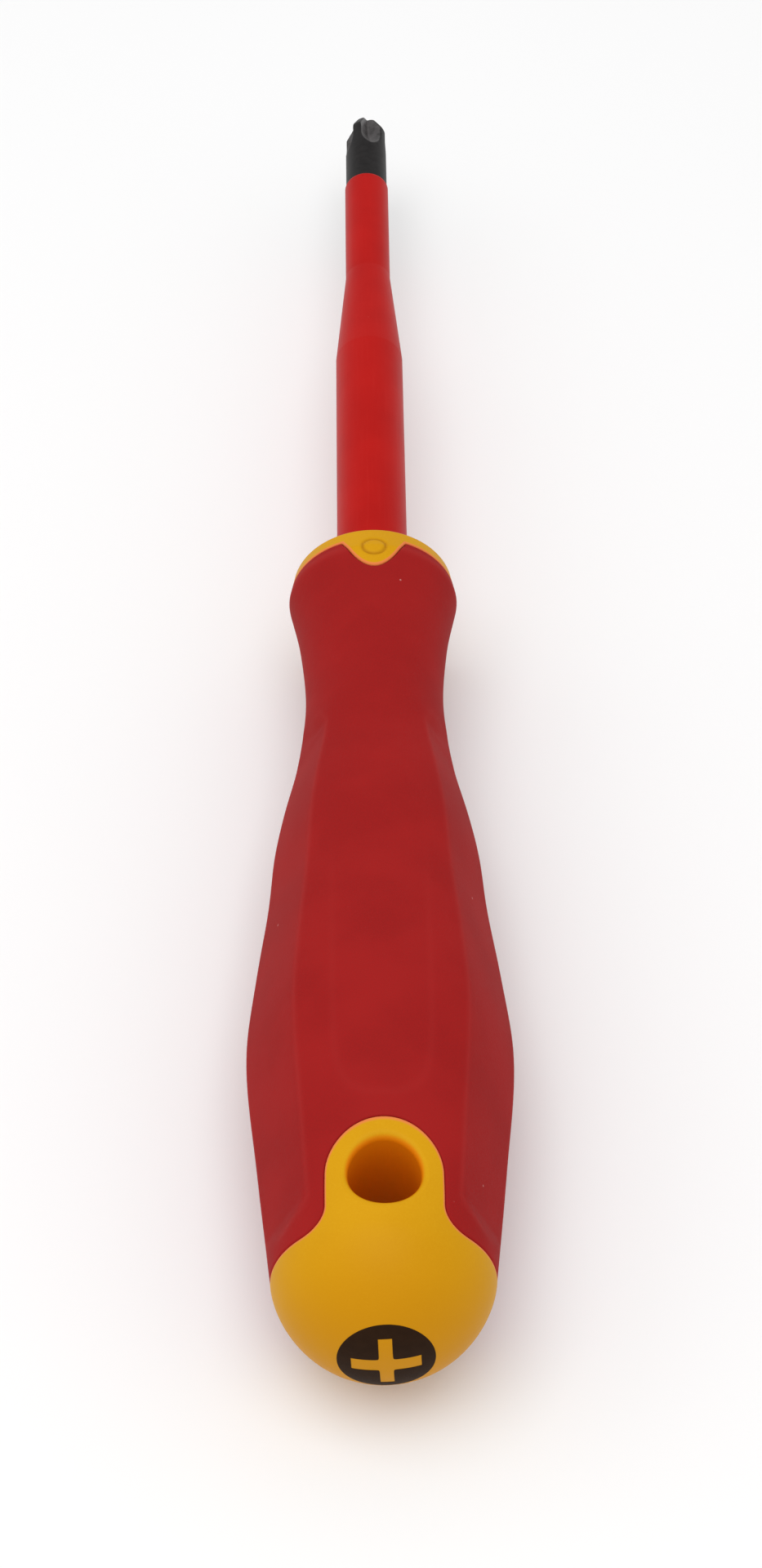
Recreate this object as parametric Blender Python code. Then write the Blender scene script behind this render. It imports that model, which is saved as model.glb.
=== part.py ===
"""An insulated screwdriver for cross-recess screws, built from the pieces it is moulded from.

Four solids: a steel blade with a fluted tip and anchoring wings, an insulating sleeve moulded on the blade,
a hard handle core moulded round both, and a soft grip moulded over the core.
The tool lies along Y with its tip at +Y. Its hanging hole runs along Z, and Z = 0 is the surface it lies on.
A station is a distance along the axis from the front face of the collar, positive towards the butt.
"""

import math

import bmesh
import bpy
from mathutils import Matrix, Vector

MM = 0.001

BLADE_LENGTH = 100 * MM  # collar face to the end of the tip
MOULD_GAP = 0.3 * MM  # clearance between a moulding and what it is moulded on

# Blade
TIP_DIAMETER = 6.0 * MM
TIP_END_DIAMETER = 2.9 * MM
TIP_HALF_ANGLE = math.radians(26.5)
TIP_EXPOSED_LENGTH = 15.9 * MM
TIP_TURN = math.radians(17)  # how far the nearest flute is turned from straight up
FLUTE_COUNT = 4
FLUTE_STRAIGHT_LENGTH = 4.0 * MM
FLUTE_SCOOP_LENGTH = 4.2 * MM  # where the flute curves out of the steel
FLUTE_ROOT_RADIUS = 0.62 * MM
FLUTE_ROOT_SLOPE = math.tan(math.radians(5.75))
FLUTE_HALF_ANGLE = math.radians(46)
SHANK_DIAMETER = 6.0 * MM
WAIST_DIAMETER = 4.4 * MM  # the steel is turned down where the sleeve is slim
BLADE_EMBEDDED = 74 * MM
WING_REACH = 1.5 * MM  # how far the wings stand out of the shank
WING_THICKNESS = 2.4 * MM
WING_LENGTH = 14 * MM
WING_SETBACK = 4 * MM  # from the wings to the embedded end

# Insulating sleeve
SLIM_WALL = 0.675 * MM
THICK_WALL = 1.35 * MM
SLIM_LENGTH = 21.1 * MM
SLEEVE_TAPER_LENGTH = 18 * MM
SLEEVE_EMBEDDED = 24 * MM
BEAD_HEIGHT = 0.5 * MM  # ring that locks the sleeve in the core
BEAD_LENGTH = 3 * MM
BEAD_SETBACK = 4 * MM

# Walls round the sleeve, which set the handle's slimmest width
CORE_WALL = 0.95 * MM
GRIP_WALL = 2.3 * MM

# Handle outline: length of each stretch from the collar back, and how far its end stands out from the neck
RIM_RISE = 1.7 * MM
RIM_ROUND = 0.7 * MM
COLLAR_LENGTH = 3.7 * MM
COLLAR_RISE = 2.25 * MM
THROAT_LENGTH = 7.8 * MM
THROAT_RISE = 0.8 * MM
NECK_LENGTH = 10.5 * MM
PALM_LENGTH = 10.4 * MM
PALM_RISE = 0.98 * MM
SWELL_LENGTH = 8.1 * MM
SWELL_RISE = 2.66 * MM
SHOULDER_LENGTH = 8.0 * MM
SHOULDER_RISE = 3.9 * MM
HOLLOW_LENGTH = 6.0 * MM
HOLLOW_RISE = 4.3 * MM
SLOPE_LENGTH = 11.9 * MM
SLOPE_RISE = 5.75 * MM
BELLY_LENGTH = 11.6 * MM
BELLY_RISE = 6.8 * MM
TAIL_LENGTH = 17 * MM
TAIL_RISE = 5.3 * MM
BUTT_LENGTH = 14 * MM
BUTT_RISE = 3.75 * MM
DOME_LENGTH = 10.6 * MM
DOME_SIDE_POWER = 1.6  # exponents of the butt's dome: higher is fuller at the side, or flatter at the end
DOME_END_POWER = 2.3
DOME_END_RADIUS = 0.8 * MM

# Six crowned faces on the palm swell
FACE_EDGE_ANGLE = math.radians(40)  # from straight up to the edge of the top face
TOP_FACE_CROWN_RATIO = 0.93  # a face's middle, where its edges are at 1
SIDE_FACE_CROWN_RATIO = 0.912
EDGE_SHARPNESS_POWER = 40  # higher is sharper
FACES_START = 2 * MM  # behind the neck
FACES_FADE_IN = 9 * MM
FACES_END = 3 * MM  # before the butt
FACES_FADE_OUT = 8 * MM

# Core under the grip
CORE_FRONT = 1.2 * MM
CORE_REAR_SETBACK = 5 * MM
RIB_HEIGHT = 0.9 * MM  # rings that lock the grip on the core
RIB_LENGTH = 4 * MM

# Where the core shows: collar with tabs, butt with tongues round the hanging hole
COLLAR_BAND = 2.3 * MM
TAB_WIDTH = 8.4 * MM
TAB_REACH = 4.5 * MM
HOLE_SETBACK = 6.3 * MM  # from the end of the grip
HOLE_DIAMETER = 8.0 * MM
HOLE_RIM_ROUND = 1.0 * MM
TONGUE_WALL = 2.6 * MM
TONGUE_FILLET = 2.6 * MM

# How finely round shapes are divided
SIDES = 36
ROD_SIDES = 32
RING_COUNT = 33
ARC_STEPS = 10

# Sizes that follow from those above
SHOULDER_OF_TIP = TIP_EXPOSED_LENGTH - BLADE_LENGTH  # station of the step behind the tip
SLIM_RADIUS = WAIST_DIAMETER / 2 + MOULD_GAP + SLIM_WALL
THICK_RADIUS = SHANK_DIAMETER / 2 + MOULD_GAP + THICK_WALL
NECK_RADIUS = THICK_RADIUS + BEAD_HEIGHT + MOULD_GAP + CORE_WALL + GRIP_WALL
STRETCHES = [
    (COLLAR_LENGTH, COLLAR_RISE),
    (THROAT_LENGTH, THROAT_RISE),
    (NECK_LENGTH, 0),
    (PALM_LENGTH, PALM_RISE),
    (SWELL_LENGTH, SWELL_RISE),
    (SHOULDER_LENGTH, SHOULDER_RISE),
    (HOLLOW_LENGTH, HOLLOW_RISE),
    (SLOPE_LENGTH, SLOPE_RISE),
    (BELLY_LENGTH, BELLY_RISE),
    (TAIL_LENGTH, TAIL_RISE),
    (BUTT_LENGTH, BUTT_RISE),
]
OUTLINE = [
    (sum(length for length, _ in STRETCHES[: k + 1]), NECK_RADIUS + rise)
    for k, (_, rise) in enumerate(STRETCHES)
]
FLARE_STATION, FLARE_RADIUS = OUTLINE[0]
NECK_STATION = OUTLINE[2][0]
PALM_STATION = OUTLINE[3][0]
HOLLOW_STATION = OUTLINE[6][0]
BELLY_STATION, BELLY_RADIUS = OUTLINE[8]
BUTT_STATION, BUTT_RADIUS = OUTLINE[-1]
HANDLE_LENGTH = BUTT_STATION + DOME_LENGTH
RIM_RADIUS = NECK_RADIUS + RIM_RISE
RIB_STATIONS = (PALM_STATION, HOLLOW_STATION, BELLY_STATION)
HOLE_STATION = BUTT_STATION - HOLE_SETBACK
HOLE_RADIUS = HOLE_DIAMETER / 2
TONGUE_HALF_WIDTH = HOLE_RADIUS + TONGUE_WALL
COLLAR_Y = (HANDLE_LENGTH + BLADE_LENGTH) / 2 - BLADE_LENGTH
BIG = HANDLE_LENGTH + BLADE_LENGTH  # reach of cutters past the tool


def clear_scene():
    for thing in list(bpy.data.objects):
        bpy.data.objects.remove(thing, do_unlink=True)


def material(name, colour, roughness, metallic):
    made = bpy.data.materials.new(name)
    made.use_nodes = True
    shader = made.node_tree.nodes["Principled BSDF"]
    shader.inputs["Base Color"].default_value = (*colour, 1)
    shader.inputs["Roughness"].default_value = roughness
    shader.inputs["Metallic"].default_value = metallic
    return made


def ease(low, high, value):
    """0 below low, 1 above high, with a smooth step between."""
    share = min(max((value - low) / (high - low), 0), 1)
    return share * share * (3 - 2 * share)


def smooth_through(points, at):
    """The value at a station of a smooth curve through (station, value) points."""
    stations = [p[0] for p in points]
    last = len(points) - 1
    i = max(k for k in range(last) if stations[k] <= at or k == 0)

    def slope(k):
        if k in (0, last):
            near = 1 if k == 0 else last - 1
            return (points[near][1] - points[k][1]) / (stations[near] - stations[k])
        before = (points[k][1] - points[k - 1][1]) / (stations[k] - stations[k - 1])
        after = (points[k + 1][1] - points[k][1]) / (stations[k + 1] - stations[k])
        return 0 if before * after <= 0 else 2 * before * after / (before + after)

    span = stations[i + 1] - stations[i]
    u = (at - stations[i]) / span
    rise = points[i + 1][1] - points[i][1]
    start = slope(i) * span
    end = slope(i + 1) * span
    return points[i][1] + u * (start + u * (3 * rise - 2 * start - end + u * (start + end - 2 * rise)))


# Outline and sections of the handle


def handle_radius(station):
    """Half the handle's width at a station."""
    if station < RIM_ROUND:
        drop = 1 - station / RIM_ROUND
        return RIM_RADIUS - RIM_ROUND * (1 - math.sqrt(max(0, 1 - drop * drop)))
    if station <= FLARE_STATION:
        share = (station - RIM_ROUND) / (FLARE_STATION - RIM_ROUND)
        return RIM_RADIUS + share * (FLARE_RADIUS - RIM_RADIUS)
    if station >= BUTT_STATION:
        share = (station - BUTT_STATION) / (HANDLE_LENGTH - BUTT_STATION)
        return BUTT_RADIUS * max(0, 1 - share**DOME_SIDE_POWER) ** (1 / DOME_END_POWER)
    return smooth_through(OUTLINE, station)


def face_reach(angle, towards, crown, half_angle):
    """How far out a ray meets a crowned face through the unit circle's points at half_angle either side."""
    chord_half = math.sin(half_angle)
    sagitta = crown - math.cos(half_angle)
    radius = (chord_half**2 + sagitta**2) / (2 * sagitta)
    along = (crown - radius) * math.cos(angle - towards)
    return along + math.sqrt(max(radius**2 - (crown - radius) ** 2 + along**2, 0))


def faceted_reach(angle):
    """The six-faced section at an angle from straight up, as a share of its half width."""
    side_half = (math.pi / 2 - FACE_EDGE_ANGLE) / 2
    side_middle = FACE_EDGE_ANGLE + side_half
    faces = [(0, TOP_FACE_CROWN_RATIO, FACE_EDGE_ANGLE), (math.pi, TOP_FACE_CROWN_RATIO, FACE_EDGE_ANGLE)]
    for middle in (side_middle, math.pi - side_middle):
        faces += [(middle, SIDE_FACE_CROWN_RATIO, side_half), (-middle, SIDE_FACE_CROWN_RATIO, side_half)]

    def reach(at):
        met = [face_reach(at, *face) for face in faces if math.cos(at - face[0]) > 0.2]
        return sum(m**-EDGE_SHARPNESS_POWER for m in met) ** (-1 / EDGE_SHARPNESS_POWER)

    return reach(angle) / reach(math.pi / 2)


def faces_at(station):
    """How far the section has turned from round to six-faced at a station, from 0 to 1."""
    start = NECK_STATION + FACES_START
    end = BUTT_STATION - FACES_END
    return ease(start, start + FACES_FADE_IN, station) * (1 - ease(end - FACES_FADE_OUT, end, station))


def section_reach(station, angle):
    """How far the handle reaches from its axis at a station, at an angle from straight up."""
    return handle_radius(station) * (1 + faces_at(station) * (faceted_reach(angle) - 1))


AXIS_HEIGHT = section_reach(BELLY_STATION, math.pi)


def place(x, station, z):
    """The point at a station, x to the right and z above the axis."""
    return Vector((x, COLLAR_Y - station, AXIS_HEIGHT + z))


# Meshes


def mesh_object(name, mesh_data, look=None):
    bmesh.ops.recalc_face_normals(mesh_data, faces=mesh_data.faces)
    mesh = bpy.data.meshes.new(name)
    mesh_data.to_mesh(mesh)
    mesh_data.free()
    thing = bpy.data.objects.new(name, mesh)
    bpy.context.scene.collection.objects.link(thing)
    if look is None:
        thing.hide_render = True
        thing.display_type = "WIRE"
    else:
        mesh.materials.append(look)
        mesh.shade_smooth()
        mesh.set_sharp_from_angle(angle=math.radians(30))
    return thing


def loft(name, rings, look=None):
    """A closed skin over rings of points, each ring with as many points as the next."""
    made = bmesh.new()
    loops = [[made.verts.new(point) for point in ring] for ring in rings]
    for first, second in zip(loops, loops[1:]):
        for k in range(len(first)):
            following = (k + 1) % len(first)
            made.faces.new((first[k], first[following], second[following], second[k]))
    made.faces.new(loops[0])
    made.faces.new(loops[-1])
    return mesh_object(name, made, look)


def turned(name, profile, look=None):
    """A solid of revolution round the axis from (station, radius) points."""
    turns = [2 * math.pi * k / ROD_SIDES for k in range(ROD_SIDES)]
    rings = [[place(r * math.sin(a), s, r * math.cos(a)) for a in turns] for s, r in profile]
    return loft(name, rings, look)


def prism(name, outline):
    """A plate seen from above, cut through the whole handle, from (x, station) points."""
    rings = [[place(x, s, z) for x, s in outline] for z in (-BIG, BIG)]
    return loft(name, rings)


def combine(target, operation, *tools):
    for tool in tools:
        step = target.modifiers.new(f"{operation.lower()}_{tool.name}", "BOOLEAN")
        step.operation = operation
        step.object = tool
        step.solver = "EXACT"


# Handle shapes


def handle_stations():
    """Stations of the rings: close together in the rounds, and on every point where the outline turns."""
    rounds = [RIM_ROUND * (1 - math.cos(k * math.pi / 8)) for k in range(5)]
    flare_and_neck = [(COLLAR_BAND + FLARE_STATION) / 2, FLARE_STATION]
    body_length = BUTT_STATION - FLARE_STATION
    body = [FLARE_STATION + body_length * k / RING_COUNT for k in range(1, RING_COUNT + 1)]
    last = (1 - (DOME_END_RADIUS / BUTT_RADIUS) ** DOME_END_POWER) ** (1 / DOME_SIDE_POWER)
    depth = (HANDLE_LENGTH - BUTT_STATION) * last
    dome = [BUTT_STATION + depth * math.sin(k / ARC_STEPS * math.pi / 2) for k in range(1, ARC_STEPS)]
    return rounds + flare_and_neck + body + dome + [HANDLE_LENGTH]


def envelope(name, look=None):
    """The whole outer form of the handle."""
    turns = [2 * math.pi * k / SIDES for k in range(SIDES)]
    rings = []
    for station in handle_stations():
        end = station >= HANDLE_LENGTH
        reach = [DOME_END_RADIUS if end else section_reach(station, a) for a in turns]
        rings.append([place(r * math.sin(a), station, r * math.cos(a)) for r, a in zip(reach, turns)])
    return loft(name, rings, look)


def core_body(name, grow, look=None):
    """The core under the grip, with its locking ribs. A cutter for the grip is grown by the gap."""
    start = CORE_FRONT - grow
    end = HANDLE_LENGTH - CORE_REAR_SETBACK + grow
    stations = {start, end}
    for middle in RIB_STATIONS:
        for side in (-1, 1):
            edge = middle + side * (RIB_LENGTH / 2 + grow)
            stations |= {edge - GRIP_WALL / 100, edge, edge + GRIP_WALL / 100}
    count = RING_COUNT // 2
    stations |= {start + (end - start) * k / count for k in range(1, count)}
    profile = []
    for station in sorted(stations):
        on_rib = any(abs(station - m) < RIB_LENGTH / 2 + grow for m in RIB_STATIONS)
        lowest = handle_radius(max(station, RIM_ROUND)) * (1 + faces_at(station) * (TOP_FACE_CROWN_RATIO - 1))
        profile.append((station, lowest - GRIP_WALL + grow + (RIB_HEIGHT if on_rib else 0)))
    return turned(name, profile, look)


def collar_plate(name, grow):
    """Plan of the collar: a band across the handle with a rounded tab on the top and bottom faces."""
    half = TAB_WIDTH / 2 + grow
    outline = [(-BIG, -BIG), (-BIG, COLLAR_BAND + grow)]
    for k in range(2 * ARC_STEPS + 1):
        share = k / ARC_STEPS - 1
        outline.append((share * half, COLLAR_BAND + grow + TAB_REACH * (1 - share * share)))
    return prism(name, outline + [(BIG, COLLAR_BAND + grow), (BIG, -BIG)])


def butt_plate(name, grow):
    """Plan of the butt: everything past the grip, with a tongue that rounds the hanging hole."""
    half = TONGUE_HALF_WIDTH + grow
    fillet = TONGUE_FILLET - grow
    end = BUTT_STATION - grow
    right = [(BIG, end)]
    for k in range(ARC_STEPS + 1):
        a = k / ARC_STEPS * math.pi / 2
        right.append((half + fillet - fillet * math.sin(a), end - fillet + fillet * math.cos(a)))
    for k in range(ARC_STEPS + 1):
        a = k / ARC_STEPS * math.pi / 2
        right.append((half * math.cos(a), HOLE_STATION - half * math.sin(a)))
    left = [(-x, s) for x, s in reversed(right[:-1])]
    return prism(name, [(BIG, BIG + HANDLE_LENGTH)] + right + left + [(-BIG, BIG + HANDLE_LENGTH)])


def hole_cutter(name):
    """The hanging hole, flaring to a rounded rim at both faces."""
    face = section_reach(HOLE_STATION, 0)
    upper = [(face - HOLE_RIM_ROUND, HOLE_RADIUS)]
    for k in range(1, ARC_STEPS // 2 + 1):
        a = k / (ARC_STEPS // 2) * math.pi / 2
        upper.append(
            (
                face - HOLE_RIM_ROUND * (1 - math.sin(a)),
                HOLE_RADIUS + HOLE_RIM_ROUND * (1 - math.cos(a)),
            )
        )
    upper.append((face + HOLE_RIM_ROUND, HOLE_RADIUS + 2 * HOLE_RIM_ROUND))
    heights = [(-z, r) for z, r in reversed(upper)] + upper
    turns = [2 * math.pi * k / ROD_SIDES for k in range(ROD_SIDES)]
    rings = [
        [place(r * math.sin(a), HOLE_STATION + r * math.cos(a), z) for a in turns] for z, r in heights
    ]
    return loft(name, rings)


# Blade and sleeve


def tip_profile():
    """Outline of the blade's tip, from its flat end to the shoulder that the sleeve meets."""
    end = -BLADE_LENGTH
    cone = (TIP_DIAMETER - TIP_END_DIAMETER) / 2 / math.tan(TIP_HALF_ANGLE)
    return [
        (end, TIP_END_DIAMETER / 2),
        (end + cone, TIP_DIAMETER / 2),
        (SHOULDER_OF_TIP, TIP_DIAMETER / 2),
    ]


def sleeve_taper():
    """Stations where the sleeve stops being slim and becomes thick."""
    slim_end = SHOULDER_OF_TIP + SLIM_LENGTH
    return slim_end, slim_end + SLEEVE_TAPER_LENGTH


def steel_under_sleeve(grow):
    """Outline of the steel that the sleeve covers, with the turned-down waist."""
    slim_end, thick_start = sleeve_taper()
    return [
        (SHOULDER_OF_TIP, WAIST_DIAMETER / 2 + grow),
        (slim_end, WAIST_DIAMETER / 2 + grow),
        (thick_start, SHANK_DIAMETER / 2 + grow),
    ]


def flute_cutter(name, turn):
    """A scoop with a V section that runs out of the shank in a curve."""
    rings = []
    wide = TIP_DIAMETER
    scoop_start = FLUTE_ROOT_RADIUS + FLUTE_STRAIGHT_LENGTH * FLUTE_ROOT_SLOPE
    climb = TIP_DIAMETER / 2 - scoop_start
    along = [(-FLUTE_SCOOP_LENGTH, FLUTE_ROOT_RADIUS - FLUTE_SCOOP_LENGTH * FLUTE_ROOT_SLOPE)]
    along += [(FLUTE_STRAIGHT_LENGTH, scoop_start)]
    for k in range(1, ARC_STEPS + 1):
        share = k / (ARC_STEPS - 2)
        rise = share * FLUTE_SCOOP_LENGTH * FLUTE_ROOT_SLOPE
        curve = (climb - FLUTE_SCOOP_LENGTH * FLUTE_ROOT_SLOPE) * share * share
        along.append((FLUTE_STRAIGHT_LENGTH + share * FLUTE_SCOOP_LENGTH, scoop_start + rise + curve))
    spin = Matrix.Rotation(turn, 3, "Y")
    for distance, root in along:
        spread = wide * math.tan(FLUTE_HALF_ANGLE)
        corners = [(0, root), (spread, root + wide), (-spread, root + wide)]
        ring = []
        for x, z in corners:
            turned_corner = spin @ Vector((x, 0, z))
            ring.append(place(turned_corner.x, distance - BLADE_LENGTH, turned_corner.z))
        rings.append(ring)
    return loft(name, rings)


def wing_bar(name, grow):
    """The flattened bar at the blade's embedded end, which stops the blade turning in the core."""
    rear = BLADE_EMBEDDED - WING_SETBACK + grow
    front = BLADE_EMBEDDED - WING_SETBACK - WING_LENGTH - grow
    x = SHANK_DIAMETER / 2 + WING_REACH + grow
    z = WING_THICKNESS / 2 + grow
    corners = [(-x, -z), (x, -z), (x, z), (-x, z)]
    return loft(name, [[place(cx, s, cz) for cx, cz in corners] for s in (front, rear)])


def make_blade(look):
    rod = tip_profile() + steel_under_sleeve(0) + [(BLADE_EMBEDDED, SHANK_DIAMETER / 2)]
    blade = turned("blade", rod, look)
    for k in range(FLUTE_COUNT):
        turn = TIP_TURN + 2 * math.pi * k / FLUTE_COUNT
        combine(blade, "DIFFERENCE", flute_cutter(f"flute_cutter_{k}", turn))
    combine(blade, "UNION", wing_bar("wing_bar", 0))
    return blade


def sleeve_profile(grow):
    """Outside of the sleeve, from its front edge to its end inside the core."""
    slim_end, thick_start = sleeve_taper()
    thick = THICK_RADIUS + grow
    bead_front = SLEEVE_EMBEDDED - BEAD_SETBACK - BEAD_LENGTH - grow
    bead_rear = SLEEVE_EMBEDDED - BEAD_SETBACK + grow
    return [
        (SHOULDER_OF_TIP + MOULD_GAP, SLIM_RADIUS + grow),
        (slim_end, SLIM_RADIUS + grow),
        (thick_start, thick),
        (bead_front - BEAD_HEIGHT, thick),
        (bead_front, thick + BEAD_HEIGHT),
        (bead_rear, thick + BEAD_HEIGHT),
        (bead_rear + BEAD_HEIGHT, thick),
        (SLEEVE_EMBEDDED + grow, thick),
    ]


def make_sleeve(look):
    sleeve = turned("blade_insulation", sleeve_profile(0), look)
    bore = steel_under_sleeve(MOULD_GAP)
    bore = [(bore[0][0] - MOULD_GAP, bore[0][1])] + bore[1:]
    bore.append((SLEEVE_EMBEDDED + BIG, SHANK_DIAMETER / 2 + MOULD_GAP))
    combine(sleeve, "DIFFERENCE", turned("sleeve_bore", bore))
    return sleeve


def make_core(look):
    core = core_body("handle_core", 0, look)
    collar = envelope("collar_form")
    combine(collar, "INTERSECT", collar_plate("collar_plate", 0))
    butt = envelope("butt_form")
    combine(butt, "INTERSECT", butt_plate("butt_plate", 0))
    combine(core, "UNION", collar, butt)
    thick = THICK_RADIUS + MOULD_GAP
    pocket = [(-BIG, thick)] + sleeve_profile(MOULD_GAP)[3:]
    socket_radius = SHANK_DIAMETER / 2 + MOULD_GAP
    socket = [(-BIG, socket_radius), (BLADE_EMBEDDED + MOULD_GAP, socket_radius)]
    combine(core, "DIFFERENCE", turned("sleeve_pocket", pocket), turned("blade_socket", socket))
    combine(core, "DIFFERENCE", wing_bar("wing_socket", MOULD_GAP), hole_cutter("hanging_hole"))
    return core


def make_grip(look):
    grip = envelope("soft_grip", look)
    combine(grip, "DIFFERENCE", collar_plate("collar_clearance", MOULD_GAP))
    combine(grip, "DIFFERENCE", butt_plate("butt_clearance", MOULD_GAP))
    combine(grip, "DIFFERENCE", core_body("core_clearance", MOULD_GAP))
    return grip


def main():
    clear_scene()
    make_blade(material("black_finished_steel", (0.035, 0.034, 0.034), 0.45, 0.8))
    make_sleeve(material("red_insulation", (0.52, 0.02, 0.015), 0.4, 0))
    make_core(material("yellow_hard_plastic", (0.72, 0.39, 0.012), 0.45, 0))
    make_grip(material("red_soft_grip", (0.34, 0.018, 0.018), 0.65, 0))


main()
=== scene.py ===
"""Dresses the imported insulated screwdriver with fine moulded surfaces, finishes, a camera and a studio.

The handle's surface is one formula of a station, the distance back from the collar's front face, and an angle
from straight up. The grip and the core share it, and meet along the same edges.
"""

import math

import bmesh
import bpy
import numpy as np
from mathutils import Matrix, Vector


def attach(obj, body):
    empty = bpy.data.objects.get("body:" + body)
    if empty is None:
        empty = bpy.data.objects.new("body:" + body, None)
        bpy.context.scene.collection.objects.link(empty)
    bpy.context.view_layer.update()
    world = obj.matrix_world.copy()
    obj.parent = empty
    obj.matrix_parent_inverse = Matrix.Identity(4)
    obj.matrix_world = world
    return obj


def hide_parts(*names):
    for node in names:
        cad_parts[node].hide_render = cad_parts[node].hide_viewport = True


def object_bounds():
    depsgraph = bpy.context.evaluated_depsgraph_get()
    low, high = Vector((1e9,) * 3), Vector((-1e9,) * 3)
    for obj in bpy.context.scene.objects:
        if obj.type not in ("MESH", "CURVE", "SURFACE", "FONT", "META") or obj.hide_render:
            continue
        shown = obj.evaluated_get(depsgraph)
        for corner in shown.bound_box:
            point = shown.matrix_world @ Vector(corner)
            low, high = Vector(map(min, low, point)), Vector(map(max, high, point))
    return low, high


MM = 0.001

# Blade
BLADE_LENGTH = 100 * MM
BLADE_EMBEDDED = 74 * MM
WAIST_RADIUS = 2.2 * MM
TIP_RADIUS = 3.0 * MM
TIP_END_RADIUS = 1.45 * MM
TIP_END_ROUND = 0.75 * MM
TIP_HALF_ANGLE = math.radians(26.5)
TIP_EXPOSED_LENGTH = 15.9 * MM
TIP_UNDER_SLEEVE = 0.3 * MM
TIP_TURN = math.radians(17)
CONE_EDGE_POWER = 60
FLUTE_COUNT = 4
FLUTE_STRAIGHT_LENGTH = 4.0 * MM
FLUTE_SCOOP_LENGTH = 4.2 * MM
FLUTE_ROOT_RADIUS = 0.82 * MM
FLUTE_ROOT_SLOPE = math.tan(math.radians(5.75))
FLUTE_HALF_ANGLE = math.radians(46)
FLUTE_NARROWING_RATIO = 0.45  # at the end of its scoop
FLUTE_OPENING_RATIO = 1.238
FLUTE_FLOOR_ANGLE = 0.1732  # over which its floor is rounded
FLUTE_FLOOR_SQUARE = 0.03  # that angle's square
FLUTE_EDGE_POWER = 50
RIDGE_WEAR_WIDTH = 0.35 * MM
RIDGE_WEAR = 0.5
# Paler flute floors: painted light on the lit scoop floors
FLUTE_PAINTED_LIGHT_DEPTH = 0.3 * MM
FLUTE_PAINTED_LIGHT = 0.95

# Sleeve
SLIM_RADIUS = 3.175 * MM
THICK_RADIUS = 4.65 * MM
SLIM_LENGTH = 21.1 * MM
SLEEVE_TAPER_LENGTH = 18 * MM
SLEEVE_TUCKED = 3.9 * MM  # how far it is drawn inside the collar
SLEEVE_EDGE_ROUND = 0.4 * MM

# Handle outline: length of each stretch from the collar back, and its end's half width
RIM_RADIUS = 10.4 * MM
RIM_ROUND = 0.7 * MM
STRETCHES = (
    (3.7 * MM, 10.95 * MM),  # collar
    (7.8 * MM, 9.5 * MM),  # throat
    (10.5 * MM, 8.7 * MM),  # neck
    (10.4 * MM, 9.68 * MM),  # palm
    (8.1 * MM, 11.36 * MM),  # swell
    (8.0 * MM, 12.6 * MM),  # shoulder
    (6.0 * MM, 13.0 * MM),  # hollow
    (11.9 * MM, 14.45 * MM),  # slope
    (11.6 * MM, 15.5 * MM),  # belly
    (17.0 * MM, 14.0 * MM),  # tail
    (14.0 * MM, 12.45 * MM),  # butt
)
NECK_STATION = 22 * MM
BUTT_STATION = 109 * MM
BUTT_RADIUS = 12.45 * MM
DOME_LENGTH = 10.6 * MM
DOME_SIDE_POWER = 1.6
DOME_END_POWER = 2.3
HANDLE_LENGTH = BUTT_STATION + DOME_LENGTH
OUTLINE_SOFTNESS = 1.6 * MM  # how far the outline is eased round its stations

# Six crowned faces on the palm swell
FACE_EDGE_ANGLE = math.radians(40)
FACE_LEAST_COSINE = 0.2  # a face counts where it is turned no further away than this
TOP_FACE_CROWN_RATIO = 0.9405
SIDE_FACE_CROWN_RATIO = 0.9225
EDGE_SHARPNESS_POWER = 120
FACES_START = 2 * MM
FACES_FADE_IN = 9 * MM
FACES_END = 3 * MM
FACES_FADE_OUT = 8 * MM

# Side faces' rounded ends: where their edge starts to bend outwards, how far it runs from there, and how
# fast the round body sinks below the face
EDGE_BEND_ANGLE = math.radians(40)
EDGE_BEND_LIMIT = 1.2
FRONT_BEND_STATION = 31.5 * MM
FRONT_BEND_LENGTH = 4.2 * MM
FRONT_BEND_POWER = 2.2
FRONT_BEND_SLOPE = 0.0229 / MM
FRONT_BEND_SKEW = 2.5 * MM  # how much nearer to the tip the face ends at the widest place
FRONT_BEND_SKEW_ANGLE = math.radians(50)
REAR_BEND_STATION = 104.2 * MM
REAR_BEND_LENGTH = 3.6 * MM
REAR_BEND_POWER = 2
REAR_BEND_SLOPE = 0.0273 / MM
FACE_BLEND_ANGLE = math.radians(3)
FACE_RAISE_LIMIT = 0.15
BODY_CLEAR_START = 0.025
BODY_CLEAR_LIMIT = 0.04

# Pale lines along the faces' edges and the flare: partly worn paler, partly painted highlight
EDGE_LINE_WIDTH = 0.35 * MM
EDGE_LINE_SHARE = 0.7
EDGE_LINE_LEAD = 0.5 * MM
EDGE_LINE_FADE_IN = 6 * MM
EDGE_LINE_FADE_OUT = 1.5 * MM
FLARE_LINE_WIDTH = 0.5 * MM

# Shallow field sunk in the top face
FIELD_STATION = 66 * MM
FIELD_HALF_LENGTH = 27 * MM
FIELD_HALF_WIDTH = 5.6 * MM
FIELD_WIDTH_POWER = 2.6
FIELD_LENGTH_POWER = 9
FIELD_DEPTH = 0.07 * MM
FIELD_EDGE = 0.8 * MM
FIELD_FADE = (48 * MM, 74 * MM)  # it deepens between these stations
# Pale line round the field's rim: painted highlight
FIELD_LINE_WIDTH = 0.4 * MM
FIELD_LINE_SHARE = 0.25

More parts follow.
